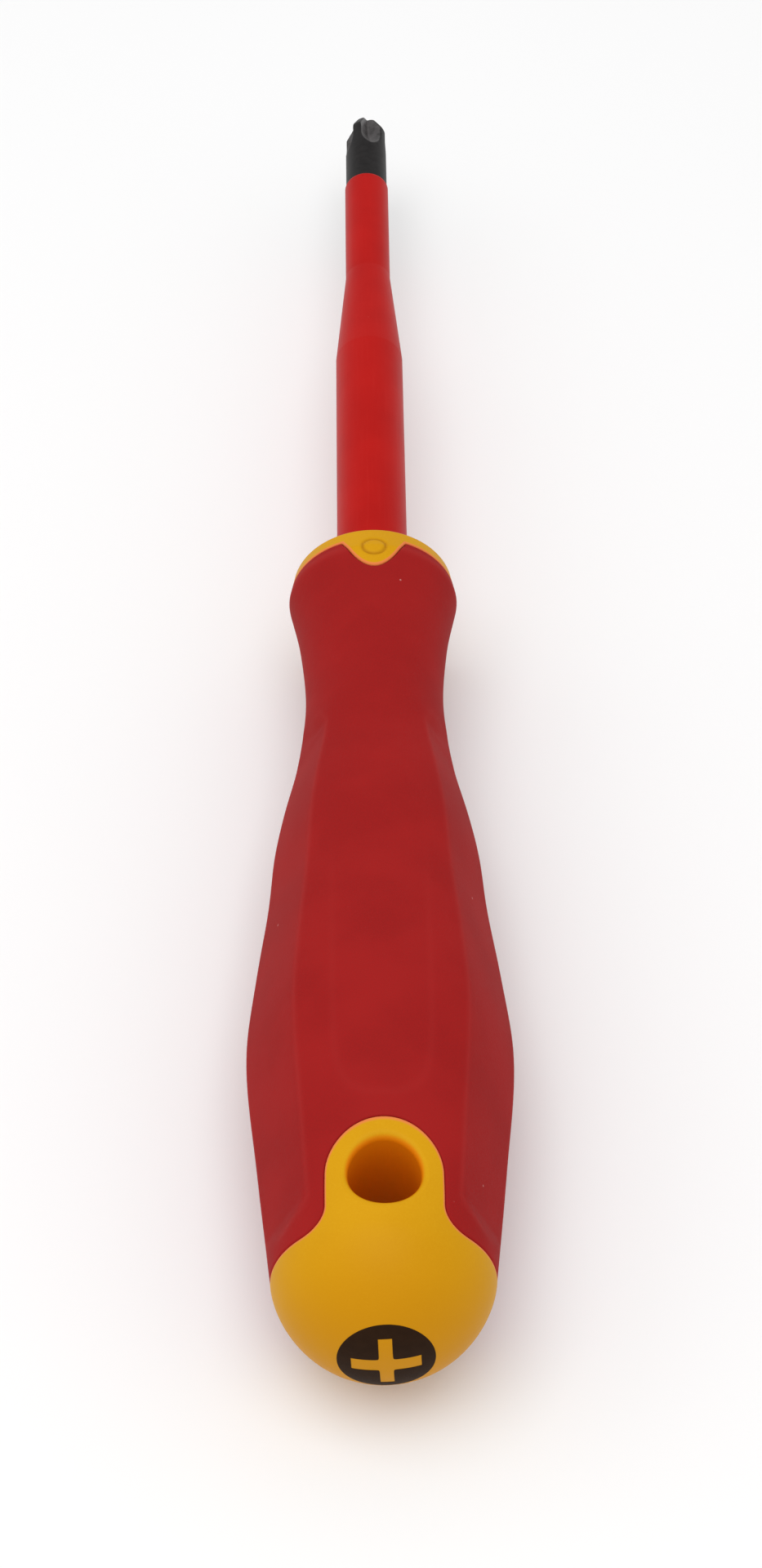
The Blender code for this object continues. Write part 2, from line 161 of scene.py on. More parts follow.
# Edges where grip and core meet
COLLAR_BAND = 2.3 * MM
TAB_WIDTH = 8.4 * MM
TAB_REACH = 4.5 * MM
TONGUE_HALF_WIDTH = 6.6 * MM
TONGUE_FILLET = 2.6 * MM
TONGUE_TUCK_RATIO = 0.85  # of the tongue's width, inside which its columns keep
SEAM_HALF_GAP = 0.03 * MM
SEAM_ROUND = 0.25 * MM
GRIP_DEPTH = 1.8 * MM
CORE_DEPTH = 2.1 * MM
POCKET_DEPTH = 4 * MM  # of the collar's bore, as far as it is drawn
POCKET_EDGE = 0.2 * MM
POCKET_FAN_RADIUS = 0.2 * MM  # of the small face that closes the pocket
POLE_FAN_REACH = 0.4 * MM  # of the one that closes the butt's pole

# Hanging hole
HOLE_STATION = BUTT_STATION - 6.3 * MM
HOLE_RADIUS = 4.0 * MM
HOLE_STRETCH = 0.23 * MM  # how much longer than round it is, towards the butt
HOLE_WIDEST = 0.5 * MM  # how far behind its station it is widest
HOLE_RIM_ROUND = 1.0 * MM
HOLE_RIM_ANGLE = math.radians(78)
HOLE_LIP_WIDTH = 0.35 * MM
HOLE_LIP_RISE = 0.09 * MM
PLUG_RISE = 4 * MM
# Painted shade inside the hole's bore fades out over this
BORE_SHADE_FADE = 0.5 * MM

# Small moulded and printed marks
MOULD_MARK_STATION = 3.7 * MM
MOULD_MARK_SIZE = (1.5 * MM, 1.3 * MM)
MOULD_MARK_DEPTH = 0.2 * MM
MOULD_MARK_LINE_RATIO = 0.13
SYMBOL_RADIUS = 5.35 * MM
SYMBOL_ARM_REACH = 3.8 * MM
SYMBOL_ARM_HALF_WIDTHS = (0.76 * MM, 0.9 * MM)  # of the upright arms and of the level ones
SYMBOL_CORNER_POWER = 7
SYMBOL_STRETCH = 1.11  # its height over its width
SYMBOL_TURN = math.radians(3.2)
SYMBOL_OFFSET = 0.15 * MM
INK_THICKNESS = 0.03 * MM

# How finely surfaces are divided
COLUMNS = 288
QUARTER = COLUMNS // 4
OUTLINE_STEP = 0.02 * MM
RIM_POINTS = 60
BAND_POINTS = 200
DOME_POINTS = 500
EDGE_POINTS = 80
EDGE_ROUNDS = 6
ROLL_ROWS = 6
GRIP_BREAKS = (0, 0.1, 0.32, 0.82, 1)  # shares of the grip's length where its rows' spacing changes
GRIP_ROWS = (30, 48, 58, 42)  # between them
GRIP_INNER_ROWS = 14
FRONT_FACE_RINGS = 6
BAND_ROWS = 40
BAND_EASE = 5 * MM  # how far from an edge its columns take to run evenly
HIDDEN_ROWS = 20
GRIP_EASE = 9 * MM
DOME_ROWS = 90
DOME_EASE = 12 * MM
HOLE_POINTS = 128
HOLE_RIM_ROWS = 12
HOLE_ROUNDS = 8
SYMBOL_POINTS = 360
SYMBOL_ROWS = 16
SLEEVE_SIDES = 112
SLEEVE_RINGS = 480
BLADE_SIDES = 240
BLADE_RINGS = 220
BLADE_TIP_SHARE = 0.9  # of its rings
SLANT_STEP = 0.05 * MM
DOUBLES_DISTANCE = 1e-7
MERGE_DISTANCE = 1e-6
LEAST_SINE = 1e-6
ANGLE_DIGITS = 9  # to which the sign's angles are told apart

# Camera and studio
SENSOR_HEIGHT = 36
FRAME_PIXELS = 1920  # height of the photograph
FOCAL_PIXELS = 4077  # focal length in its pixels
CLIP_START = 0.01
CAMERA_OFFSET = (-6.98 * MM, -413.9 * MM, 306.13 * MM)  # from the tip's end
CAMERA_TURN = (math.radians(42.31), math.radians(-0.765), math.radians(-0.726))
FLOOR_HALF = 10.0
SKY_WHITE = (1, 1, 1, 1)
SKY_STRENGTH = 0.7
SOFTBOXES = (  # name, place, size and power
    ("softbox_above", (-0.1, -0.25, 1.0), (1.0, 0.8), 4.8),
    ("softbox_left", (-0.8, 0.1, 0.6), (0.7, 0.5), 0.5),
)

# Colours and tints
GRIP_RED = (0.296, 0.0122, 0.0118, 1)
GRIP_PALER_RED = (0.334, 0.0142, 0.0136, 1)
GRIP_GRAIN = (0.38, 0.012, 0.012, 1)
# Pale edge lines on the grip: partly worn paler, partly painted highlight
GRIP_EDGE_WEAR_AND_HIGHLIGHT = (0.48, 0.05, 0.045, 1)
GRIP_DUST = (0.66, 0.34, 0.32, 1)
CORE_YELLOW = (0.62, 0.298, 0.0030, 1)
CORE_PALER_YELLOW = (0.665, 0.328, 0.0040, 1)
CORE_GRAIN = (0.72, 0.39, 0.010, 1)
CORE_DUST = (0.5, 0.25, 0.02, 1)
# Painted highlight line on the core's seam edges
CORE_SEAM_HIGHLIGHT = (0.8, 0.2, 0.07, 1)
# Painted shade in the mould mark's groove
CORE_GROOVE_SHADE = (0.35, 0.13, 0.004, 1)
# Painted shade towards the butt's end, over this reach
CORE_END_SHADE = (0.57, 0.235, 0.0020, 1)
CORE_END_SHADE_REACH = 13 * MM
# Painted shade inside the hanging hole's bore
CORE_BORE_SHADE = (0.76, 0.18, 0.0010, 1)
SLEEVE_RED = (0.425, 0.0055, 0.0040, 1)
SLEEVE_PALER_RED = (0.465, 0.0070, 0.0050, 1)
SLEEVE_STREAK = (0.52, 0.017, 0.014, 1)
SLEEVE_STREAK_SCALE = (1, 0.04, 1)
SLEEVE_DUST = (0.7, 0.3, 0.28, 1)
BLADE_BLACK = (0.008, 0.0066, 0.0068, 1)
BLADE_PALER_BLACK = (0.014, 0.0122, 0.0122, 1)
# Worn ridges, and painted light on the flute floors
BLADE_WORN_AND_LIT = (0.115, 0.106, 0.106, 1)
INK_BLACK = (0.019, 0.0085, 0.0040, 1)
INK_PALER_BLACK = (0.031, 0.0140, 0.0062, 1)
FLOOR_WHITE = (0.93, 0.93, 0.93, 1)
FLOOR_PALER_WHITE = (0.95, 0.95, 0.95, 1)
CLOUD_BAND = (0.3, 0.7)  # noise values between which a cloudy tint changes
SPECK_CORE_RATIO = 0.6  # of a speck's size, inside which it is full

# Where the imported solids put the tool's axis and its collar's front face
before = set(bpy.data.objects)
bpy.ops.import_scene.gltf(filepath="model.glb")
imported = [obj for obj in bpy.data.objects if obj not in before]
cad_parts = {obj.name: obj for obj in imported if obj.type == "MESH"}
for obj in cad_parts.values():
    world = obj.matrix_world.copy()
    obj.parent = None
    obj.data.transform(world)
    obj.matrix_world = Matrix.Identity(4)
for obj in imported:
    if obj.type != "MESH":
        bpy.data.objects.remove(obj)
CAD_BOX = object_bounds()
INSIDE_CAD = 0.001 * MM  # how far the tip stays inside the solids' box
AXIS_HEIGHT = float(CAD_BOX[0][2] + CAD_BOX[1][2]) / 2
COLLAR_Y = float(CAD_BOX[1][1]) - BLADE_LENGTH - INSIDE_CAD


# Node trees


class Signal:
    """A node's output, with arithmetic that adds Math nodes."""

    def __init__(self, graph, socket):
        self.graph = graph
        self.socket = socket

    def math(self, operation, *others):
        values = {k: v for k, v in enumerate((self, *others))}
        return self.graph.add("ShaderNodeMath", {"operation": operation}, values)

    def reflected(self, operation, other):
        """The same with a number before the signal."""
        return self.graph.add("ShaderNodeMath", {"operation": operation}, {0: other, 1: self})

    def __add__(self, other):
        return self.math("ADD", other)

    __radd__ = __add__

    def __mul__(self, other):
        return self.math("MULTIPLY", other)

    __rmul__ = __mul__

    def __sub__(self, other):
        return self.math("SUBTRACT", other)

    def __rsub__(self, other):
        return self.reflected("SUBTRACT", other)

    def __truediv__(self, other):
        return self.math("DIVIDE", other)

    def __rtruediv__(self, other):
        return self.reflected("DIVIDE", other)

    def __pow__(self, other):
        return self.math("POWER", other)

    def __rpow__(self, other):
        return self.reflected("POWER", other)

    def ease(self, low, high):
        """0 below low and 1 above high, with a smooth step between."""
        settings = {"interpolation_type": "SMOOTHSTEP"}
        return self.graph.add("ShaderNodeMapRange", settings, {0: self, 1: low, 2: high})

    def soft_min(self, other, sharpness):
        """The smaller of two positive values, rounded where they meet."""
        return self * (1 + (self / other) ** sharpness) ** (-1 / sharpness)


class Graph:
    """A node tree under construction."""

    def __init__(self, tree):
        self.tree = tree

    def add(self, kind, settings=None, values=None, output=0):
        node = self.tree.nodes.new(kind)
        for name, setting in (settings or {}).items():
            setattr(node, name, setting)
        for name, value in (values or {}).items():
            if isinstance(value, Signal):
                self.tree.links.new(value.socket, node.inputs[name])
            else:
                node.inputs[name].default_value = value
        return Signal(self, node.outputs[output]) if node.outputs else None

    def x_and_y(self, vector):
        """A vector's x and y."""
        x = self.add("ShaderNodeSeparateXYZ", {}, {0: vector})
        return x, Signal(self, x.socket.node.outputs[1])

    def stored(self, name):
        """A number kept for each vertex."""
        return self.add("ShaderNodeAttribute", {"attribute_name": name}, {}, "Fac")

    def mix(self, share, first, second):
        """Two colours mixed by a share."""
        return self.add("ShaderNodeMix", {"data_type": "RGBA"}, {0: share, 6: first, 7: second}, 2)

    def tint(self, colour, tone, mask, share):
        """A colour with a share of another tone where a mask is 1."""
        return self.mix(mask * share, colour, tone)

    def noise(self, coords, scale, detail=2.0, roughness=0.5):
        values = {"Vector": coords, "Scale": scale, "Detail": detail, "Roughness": roughness}
        return self.add("ShaderNodeTexNoise", {}, values, "Fac")


# The handle's surface


def ease(low, high, value):
    share = np.clip((value - low) / (high - low), 0, 1)
    return share * share * (3 - 2 * share)


def smooth_outline(stations):
    """Half width from the flare to the butt: a smooth curve through the ends of the stretches."""
    ends = np.cumsum([length for length, _ in STRETCHES])
    widths = np.array([width for _, width in STRETCHES])
    steps = np.diff(widths) / np.diff(ends)
    slopes = np.concatenate([steps[:1], np.zeros(len(steps) - 1), steps[-1:]])
    for k, (before, after) in enumerate(zip(steps, steps[1:]), 1):
        if before * after > 0:
            slopes[k] = 2 * before * after / (before + after)
    k = np.clip(np.searchsorted(ends, stations) - 1, 0, len(steps) - 1)
    span = ends[k + 1] - ends[k]
    u = (stations - ends[k]) / span
    rise = widths[k + 1] - widths[k]
    start = slopes[k] * span
    end = slopes[k + 1] * span
    return widths[k] + u * (start + u * (3 * rise - 2 * start - end + u * (start + end - 2 * rise)))


def meridian():
    """Distances along the outline, stations and half widths, from the collar's front to the butt's pole."""
    turn = np.linspace(0, math.pi / 2, RIM_POINTS, endpoint=False)
    rim_t = RIM_ROUND * (1 - np.cos(turn))
    rim_r = RIM_RADIUS - RIM_ROUND * (1 - np.sin(turn))
    flare_station, flare_radius = STRETCHES[0]
    band_t = np.linspace(RIM_ROUND, flare_station, BAND_POINTS, endpoint=False)
    band_r = np.interp(band_t, [RIM_ROUND, flare_station], [RIM_RADIUS, flare_radius])
    body_t = np.arange(flare_station, BUTT_STATION, OUTLINE_STEP)
    # A bell curve, cut off at three times its width, eases the outline
    reach = int(3 * OUTLINE_SOFTNESS / OUTLINE_STEP)
    weights = np.exp(-0.5 * (np.arange(-reach, reach + 1) * OUTLINE_STEP / OUTLINE_SOFTNESS) ** 2)
    lengthened = np.pad(smooth_outline(body_t), reach, mode="reflect", reflect_type="odd")
    body_r = np.convolve(lengthened, weights / weights.sum(), mode="valid")
    share = np.sin(np.linspace(0, math.pi / 2, DOME_POINTS))
    dome_t = BUTT_STATION + DOME_LENGTH * share
    dome_r = body_r[-1] * (1 - np.minimum(share, 1) ** DOME_SIDE_POWER) ** (1 / DOME_END_POWER)
    t = np.concatenate([rim_t, band_t, body_t, dome_t])
    r = np.concatenate([rim_r, band_r, body_r, dome_r])
    s = np.concatenate([[0], np.cumsum(np.hypot(np.diff(t), np.diff(r)))])
    return s, t, r


MERIDIAN_S, MERIDIAN_T, MERIDIAN_R = meridian()
POLE_S = MERIDIAN_S[-1]


def along(station):
    """Distance along the outline of a station."""
    return np.interp(station, MERIDIAN_T, MERIDIAN_S)


def face_reach(angle, towards, crown, half_angle):
    """A crowned face's reach at an angle, as a share of the section's half width."""
    chord_half = math.sin(half_angle)
    sagitta = crown - math.cos(half_angle)
    radius = (chord_half**2 + sagitta**2) / (2 * sagitta)
    near = (crown - radius) * np.cos(angle - towards)
    return near + np.sqrt(np.maximum(radius**2 - (crown - radius) ** 2 + near**2, 0))


def faceted_reach(angle):
    """The six-faced section at an angle from straight up, as a share of its half width."""
    side_half = (math.pi / 2 - FACE_EDGE_ANGLE) / 2
    side_middle = FACE_EDGE_ANGLE + side_half
    faces = [(0, TOP_FACE_CROWN_RATIO, FACE_EDGE_ANGLE), (math.pi, TOP_FACE_CROWN_RATIO, FACE_EDGE_ANGLE)]
    for middle in (side_middle, math.pi - side_middle):
        faces += [(middle, SIDE_FACE_CROWN_RATIO, side_half), (-middle, SIDE_FACE_CROWN_RATIO, side_half)]

    def reach(at):
        total = 0
        for face in faces:
            met = face_reach(at, *face)
            counts = np.cos(at - face[0]) > FACE_LEAST_COSINE
            total = total + np.where(counts, met**-EDGE_SHARPNESS_POWER, 0)
        return total ** (-1 / EDGE_SHARPNESS_POWER)

    return reach(np.asarray(angle)) / reach(np.asarray(math.pi / 2))


def faces_at(station):
    """How much of the upper and lower faces shows at a station."""
    start = NECK_STATION + FACES_START
    end = BUTT_STATION - FACES_END
    return ease(start, start + FACES_FADE_IN, station) * (1 - ease(end - FACES_FADE_OUT, end, station))


def section_reach(station, angle):
    """The section's reach as a share of its half width.

    Upper and lower faces fade at their ends; side faces run out of the round body.
    """
    faces = faceted_reach(angle)
    fading = 1 + faces_at(station) * (faces - 1)
    from_upright = np.arctan2(np.abs(np.sin(angle)), np.abs(np.cos(angle)))
    skew = ease(FRONT_BEND_SKEW_ANGLE, math.pi / 2, from_upright)
    power = -EDGE_SHARPNESS_POWER

    def past_bend(skew):
        front = (FRONT_BEND_STATION - FRONT_BEND_SKEW * skew - station) * FRONT_BEND_SLOPE
        rear = (station - REAR_BEND_STATION) * REAR_BEND_SLOPE
        return np.maximum(front, rear)

    # The body keeps clear of the faces' edges where these are full
    body = 1 + np.clip(-past_bend(0) - BODY_CLEAR_START, 0, BODY_CLEAR_LIMIT)

    def met(faces, skew):
        raised = faces * (1 + np.clip(past_bend(skew), 0, FACE_RAISE_LIMIT))
        return (raised**power + body**power) ** (1 / power)

    running_out = met(faces, skew) / met(1, 1)
    on_side = ease(FACE_EDGE_ANGLE - FACE_BLEND_ANGLE, FACE_EDGE_ANGLE + FACE_BLEND_ANGLE, from_upright)
    return fading + (running_out - fading) * on_side


def reach_at(s, angle):
    """How far the handle's surface is from its axis."""
    station = np.interp(s, MERIDIAN_S, MERIDIAN_T)
    return np.interp(s, MERIDIAN_S, MERIDIAN_R) * section_reach(station, angle)


def angle_at(x, s, rounds):
    """Angle from straight up of the upper surface's points at x to the right, found in rounds."""
    angle = np.zeros_like(x)
    for _ in range(rounds):
        angle = np.arcsin(np.clip(x / reach_at(s, angle), -1, 1))
    return angle


def place(x, station, z):
    """Points at stations, x to the right and z above the axis."""
    x, station, z = np.broadcast_arrays(x, station, z)
    return np.stack([x, COLLAR_Y - station, AXIS_HEIGHT + z], -1)


def on_handle(s, angle, depth=0.0):
    """Points of the handle's surface, or below it by a depth."""
    radius = np.maximum(reach_at(s, angle) - depth, 0)
    return place(radius * np.sin(angle), np.interp(s, MERIDIAN_S, MERIDIAN_T), radius * np.cos(angle))


# Edges on that surface, as one point for each column of the meshes


def all_quarters(angle, s):
    """Mirrors a quarter's columns, from straight up to the right, to the whole ring."""
    half_angle = np.concatenate([angle, math.pi - angle[-2::-1]])
    half_s = np.concatenate([s, s[-2::-1]])
    return (
        np.concatenate([half_angle, 2 * math.pi - half_angle[-2:0:-1]]),
        np.concatenate([half_s, half_s[-2:0:-1]]),
    )


def ring_from_quarter(x, station):
    """Spreads an edge's upper right quarter evenly over the columns, and mirrors it to the whole ring."""
    s = along(station)
    angle = angle_at(x, s, EDGE_ROUNDS)
    sweep = np.linspace(angle[-1], math.pi / 2, EDGE_POINTS)[1:]
    angle = np.concatenate([angle, sweep])
    s = np.concatenate([s, np.full(len(sweep), s[-1])])
    steps = np.linalg.norm(np.diff(on_handle(s, angle), axis=0), axis=1)
    length = np.concatenate([[0], np.cumsum(steps)])
    even = np.linspace(0, length[-1], QUARTER + 1)
    return all_quarters(np.interp(even, length, angle), np.interp(even, length, s))


def collar_edge(grow):
    """The collar's edge, with its rounded tab, moved towards the butt by grow."""
    half = TAB_WIDTH / 2 + grow
    x = np.linspace(0, half, EDGE_POINTS)
    return ring_from_quarter(x, COLLAR_BAND + grow + TAB_REACH * (1 - (x / half) ** 2))


def butt_edge(grow):
    """The butt's edge, with its tongue round the hanging hole, moved towards the tip by grow."""
    half = TONGUE_HALF_WIDTH + grow
    fillet = TONGUE_FILLET - grow
    end = BUTT_STATION - grow
    turn = np.linspace(0, math.pi / 2, EDGE_POINTS)
    x = np.concatenate([half * np.sin(turn), half + fillet - fillet * np.cos(turn)])
    station = np.concatenate([HOLE_STATION - half * np.cos(turn), end - fillet + fillet * np.sin(turn)])
    return ring_from_quarter(x, station)


EVEN_ANGLES = np.arange(COLUMNS) * 2 * math.pi / COLUMNS
# Rows of a rolled edge that carry the core's painted highlight line
SEAM_TINT = np.array([[0] + [1] * ROLL_ROWS]).T  # of a rolled edge's rows, from the seam's bottom out


def rolled_edge(edge, outward, bottom):
    """Rows of a moulded edge, as (angle, s, depth), from the seam's bottom round a corner to the surface."""
    rows = [(*edge(outward * SEAM_HALF_GAP), bottom)]
    for a in np.linspace(math.pi / 2, 0, ROLL_ROWS):
        grow = SEAM_HALF_GAP + SEAM_ROUND * (1 - math.sin(a))
        rows.append((*edge(outward * grow), SEAM_ROUND * (1 - math.cos(a))))
    return rows


def between(first, last, shares, ease_out, depth=0.0, middle=EVEN_ANGLES):
    """Rows on the surface from one edge to another, whose columns run at the middle angles away from both."""
    rows = []
    for share in shares:
        s = first[1] + (last[1] - first[1]) * share
        near_first = 1 - ease(0, ease_out, s - first[1])
        near_last = 1 - ease(0, ease_out, last[1] - s)
        angle = middle + (first[0] - middle) * near_first + (last[0] - middle) * near_last
        rows.append((angle, s, depth))
    return rows


# Meshes


def mesh_piece(name, points, faces, look):
    mesh = bpy.data.meshes.new(name)
    mesh.from_pydata(points, [], faces)
    mesh.validate()
    mesh.materials.append(look)
    piece = bpy.data.objects.new(name, mesh)
    bpy.context.scene.collection.objects.link(piece)
    return piece


def finish_surface(piece, sharp=35):
    """Merges doubles, turns faces outwards and smooths all edges but those sharper than this many degrees."""
    work = bmesh.new()
    work.from_mesh(piece.data)
    bmesh.ops.remove_doubles(work, verts=work.verts, dist=DOUBLES_DISTANCE)
    bmesh.ops.recalc_face_normals(work, faces=work.faces)
    work.to_mesh(piece.data)
    work.free()
    piece.data.shade_smooth()
    piece.data.set_sharp_from_angle(angle=math.radians(sharp))


def grid_piece(name, rows, look, wrap):
    """A closed grid of rows of points: wrapped from its last row to its first, or with a fan at both ends."""
    points = np.concatenate(rows)
    count = len(rows[0])
    faces = []
    turns = len(rows) if wrap else len(rows) - 1
    for i in range(turns):
        this = i * count
        following = (i + 1) % len(rows) * count
        for j in range(count):
            k = (j + 1) % count
            faces.append((this + j, this + k, following + k, following + j))
    if not wrap:
        faces.append(tuple(range(count)))
        faces.append(tuple(range(len(points) - count, len(points))))
    return mesh_piece(name, points.tolist(), faces, look)


def store(piece, name, values):
    """Keeps a number for each vertex, for the piece's finish to read."""
    layer = piece.data.attributes.new(name, "FLOAT", "POINT")
    layer.data.foreach_set("value", np.asarray(values, np.float32))


def vertices(piece):
    flat = np.empty(len(piece.data.vertices) * 3, np.float32)
    piece.data.vertices.foreach_get("co", flat)
    return flat.reshape(-1, 3).astype(float)


def cut(piece, cutter):
    """Takes the cutter out of the piece and deletes it."""
    step = piece.modifiers.new("cut", "BOOLEAN")
    step.operation = "DIFFERENCE"
    step.solver = "EXACT"
    step.object = cutter
    graph = bpy.context.evaluated_depsgraph_get()
    made = bpy.data.meshes.new_from_object(piece.evaluated_get(graph))
    piece.modifiers.clear()
    piece.data = made
    bpy.data.objects.remove(cutter, do_unlink=True)


# Handle pieces


def face_edges(station):
    """Angles from straight up of the faces' edges at stations, right of the handle."""
    front = np.clip((FRONT_BEND_STATION - station) / FRONT_BEND_LENGTH, 0, EDGE_BEND_LIMIT)
    rear = np.clip((station - REAR_BEND_STATION) / REAR_BEND_LENGTH, 0, EDGE_BEND_LIMIT)
    upper = FACE_EDGE_ANGLE + EDGE_BEND_ANGLE * (front**FRONT_BEND_POWER + rear**REAR_BEND_POWER)
    return upper, np.full_like(station, math.pi / 2), math.pi - upper


def edge_line(station, angle):
    """How near points of the surface are to an edge between two faces: 1 on it, 0 a few widths away."""
    radius = np.interp(station, MERIDIAN_T, MERIDIAN_R)
    near = np.zeros_like(station)
    for here, ahead in zip(face_edges(station), face_edges(station + SLANT_STEP)):
        slant = np.hypot(1, (ahead - here) / SLANT_STEP * radius)
        away = np.abs(np.abs(angle) - here) * radius / slant
        near = np.maximum(near, np.exp(-((away / EDGE_LINE_WIDTH) ** 2)))
    start = FRONT_BEND_STATION - FRONT_BEND_LENGTH
    end = REAR_BEND_STATION + REAR_BEND_LENGTH
    fading_in = ease(start - EDGE_LINE_LEAD, start + EDGE_LINE_FADE_IN, station)
    return near * fading_in * (1 - ease(end - EDGE_LINE_FADE_OUT, end, station))


def field_inside(s, angle):
    """How far inside the edge of the top face's sunk field points are: negative outside it."""
    x = np.abs(reach_at(s, angle) * np.sin(angle)) / FIELD_HALF_WIDTH
    y = np.abs(np.interp(s, MERIDIAN_S, MERIDIAN_T) - FIELD_STATION) / FIELD_HALF_LENGTH
    away = (x**FIELD_WIDTH_POWER + y**FIELD_LENGTH_POWER) ** (1 / FIELD_WIDTH_POWER)
    return np.where(np.cos(angle) > 0, (1 - away) * FIELD_HALF_WIDTH, -FIELD_HALF_WIDTH)


def make_grip(look):
    """The soft grip: a closed skin between the collar's edge and the butt's edge, rolled over at both."""
    front = rolled_edge(collar_edge, 1, GRIP_DEPTH)
    rear = rolled_edge(butt_edge, 1, GRIP_DEPTH)
    spans = zip(GRIP_BREAKS, GRIP_BREAKS[1:], GRIP_ROWS)
    shares = np.concatenate([np.linspace(a, b, count, endpoint=b == 1) for a, b, count in spans])
    skin = []
    for a, s, _ in between(front[-1], rear[-1], shares[1:-1], GRIP_EASE):
        sunk = FIELD_DEPTH * ease(-FIELD_EDGE / 2, FIELD_EDGE / 2, field_inside(s, a))
        skin.append((a, s, sunk * ease(*FIELD_FADE, np.interp(s, MERIDIAN_S, MERIDIAN_T))))
    inside = between(rear[0], front[0], np.linspace(0, 1, GRIP_INNER_ROWS)[1:-1], GRIP_EASE, GRIP_DEPTH)
    rows = front + skin + rear[::-1] + inside
    piece = grid_piece("grip_skin", [on_handle(s, a, d) for a, s, d in rows], look, True)
    finish_surface(piece, sharp=60)
    spots = vertices(piece)
    station = COLLAR_Y - spots[:, 1]
    angle = np.arctan2(spots[:, 0], spots[:, 2] - AXIS_HEIGHT)
    # Pale lines on the faces' edges, the field's rim and the flare: partly worn paler, partly painted
    # highlight
    on_edge = EDGE_LINE_SHARE * edge_line(station, angle)
    near_field = np.exp(-((field_inside(along(station), angle) / FIELD_LINE_WIDTH) ** 2))
    on_field = FIELD_LINE_SHARE * near_field * ease(*FIELD_FADE, station)
    on_flare = np.exp(-(((station - STRETCHES[0][0]) / FLARE_LINE_WIDTH) ** 2))
    store(piece, "wear_and_painted_light", np.maximum.reduce([on_edge, on_field, on_flare]))
    return piece


def mould_mark_depth(points):
    """How deep the shallow oval on the collar's upper tab is at points of the surface."""
    station = COLLAR_Y - points[:, 1]
    x = points[:, 0] / MOULD_MARK_SIZE[0]
    y = (station - MOULD_MARK_STATION) / MOULD_MARK_SIZE[1]
    away = np.hypot(x, y)
    ring = np.exp(-(((away - 1) / MOULD_MARK_LINE_RATIO) ** 2))
    return np.where(points[:, 2] > AXIS_HEIGHT, MOULD_MARK_DEPTH * ring, 0)


def make_core(look):
    """The hard core: collar, hidden body, butt and tongues as one skin, with the hanging hole cut through."""
    bore = THICK_RADIUS + SEAM_HALF_GAP

    def ring(station, radius):
        return place(radius * np.sin(EVEN_ANGLES), station, radius * np.cos(EVEN_ANGLES))

    face_radii = np.linspace(bore + POCKET_EDGE, RIM_RADIUS - RIM_ROUND, FRONT_FACE_RINGS)[:-1]
    front_face = [ring(POCKET_DEPTH, POCKET_FAN_RADIUS), ring(POCKET_DEPTH, bore), ring(POCKET_EDGE, bore)]
    front_face += [ring(0, radius) for radius in face_radii]
    collar = rolled_edge(collar_edge, -1, CORE_DEPTH)[::-1]
    butt = rolled_edge(butt_edge, -1, CORE_DEPTH)
    start = (EVEN_ANGLES, np.zeros(COLUMNS))
    band = between(start, collar[0], np.linspace(0, 1, BAND_ROWS)[:-1], BAND_EASE)
    hidden = between(collar[-1], butt[0], np.linspace(0, 1, HIDDEN_ROWS)[1:-1], GRIP_EASE, CORE_DEPTH)
    butt_angle, butt_s, _ = butt[-1]
    flank_end = int(np.searchsorted(butt_s[: QUARTER + 1], along(BUTT_STATION - TONGUE_FILLET)))
    flank_angle = TONGUE_TUCK_RATIO * butt_angle[flank_end]
    tucked = np.interp(np.arange(QUARTER + 1), [0, flank_end, QUARTER], [0, flank_angle, math.pi / 2])
    pole = all_quarters(tucked, np.full(QUARTER + 1, POLE_S - POLE_FAN_REACH))
    dome = between(butt[-1], pole, np.linspace(0, 1, DOME_ROWS)[1:], DOME_EASE, middle=pole[0])
    rows = [on_handle(s, a, d) for a, s, d in band + collar + hidden + butt + dome]
    for row in rows[: len(band)]:
        row[:, 2] -= mould_mark_depth(row)
    piece = grid_piece("core_skin", front_face + rows, look, False)
    finish_surface(piece)
    rim = np.zeros((len(front_face) + len(rows), COLUMNS))
    first = len(front_face) + len(band)
    # The core's rolled seam edges get a painted highlight line
    rim[first : first + len(collar)] = SEAM_TINT[::-1]
    last = first + len(collar) + len(hidden)
    rim[last : last + len(butt)] = SEAM_TINT
    store(piece, "wear_and_painted_light", rim.ravel())
    cut(piece, hole_cutter())
    finish_surface(piece)
    store(piece, "groove", mould_mark_depth(vertices(piece)) / MOULD_MARK_DEPTH)
    return piece


def surface_height(x, station):
    """Height of the handle's upper surface above its axis."""
    s = along(station)
    angle = angle_at(x, s, HOLE_ROUNDS)
    return reach_at(s, angle) * np.cos(angle)


def hole_cutter():
    """A plug whose ends flare to follow the handle's upper and lower surfaces."""
    turn = np.linspace(0, 2 * math.pi, HOLE_POINTS, endpoint=False)
    middle = HOLE_STATION + HOLE_WIDEST
    lengthened = np.where(np.cos(turn) < 0, HOLE_WIDEST, HOLE_STRETCH - HOLE_WIDEST)
    upper = []
    for a in np.linspace(0, HOLE_RIM_ANGLE, HOLE_RIM_ROWS):
        radius = HOLE_RADIUS + HOLE_RIM_ROUND * (1 - math.cos(a))
        x = radius * np.sin(turn)
        station = middle + (radius + lengthened) * np.cos(turn)
        z = surface_height(x, station) - HOLE_RIM_ROUND * (1 - math.sin(a))
        upper.append((x, station, z))
    x, station, z = upper[-1]
    out = 1 + HOLE_LIP_WIDTH / HOLE_RADIUS
    upper.append((x * out, middle + (station - middle) * out, z + HOLE_LIP_RISE))
    x, station, z = upper[-1]
    upper.append((x, station, z + PLUG_RISE))
    rows = [place(x, station, -z) for x, station, z in reversed(upper)]
    rows += [place(x, station, z) for x, station, z in upper]
    plug = grid_piece("hole_plug", rows, None, False)
    finish_surface(plug)
    store(plug, "wear_and_painted_light", np.zeros(len(plug.data.vertices)))
    return plug


